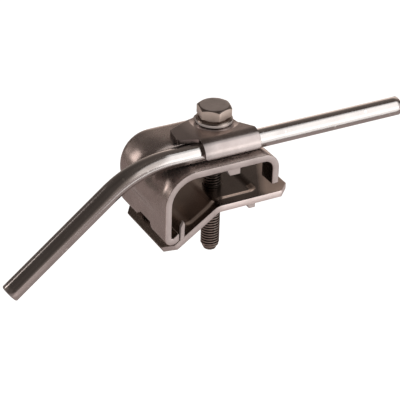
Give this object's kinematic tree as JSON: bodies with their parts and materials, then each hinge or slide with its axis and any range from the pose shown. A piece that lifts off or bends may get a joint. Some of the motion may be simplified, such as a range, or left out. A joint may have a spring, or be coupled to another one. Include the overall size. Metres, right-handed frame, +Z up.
{
  "type": "gutter clamp",
  "caption": "Folded steel clamp that grips a roof gutter's bead between a bracket and a bent plate drawn up by one screw, and holds a round conductor under a cap.",
  "frame": {"origin": "on the screw's axis, level with the underside of the upper bracket's top sheet, where the gutter's bead sits", "axes": "+X along the strip and the straight run of the conductor, +Y to the rear, +Z up along the screw towards its head"},
  "size_m": [0.1806, 0.04, 0.0679],
  "materials": {
    "folded_steel": "rolled stainless steel, bright",
    "cap_steel": "rolled stainless steel, bright",
    "conductor_metal": "drawn, bright",
    "fastener_steel": "matt stainless steel"
  },
  "bodies": {
    "bracket": {"upper_bracket": "folded_steel", "clamp_cap": "cap_steel", "round_conductor": "conductor_metal", "spring_washer": "fastener_steel"},
    "screw": {"hex_screw": "fastener_steel"},
    "plate": {"lower_plate": "folded_steel"}
  },
  "joints": [
    {"name": "screw_turn", "type": "hinge", "parent": "bracket", "child": "screw", "pos_m": [0, 0, 0], "axis": [0, 0, 1], "range_deg": [0, 6130]},
    {"name": "plate_drop", "type": "slide", "parent": "bracket", "child": "plate", "axis": [0, 0, -1], "range_m": [0, 0.02125]}
  ],
  "couplings": [
    {"joint": "screw_turn", "follows": "plate_drop", "rad_per_m": 5026.5}
  ]
}
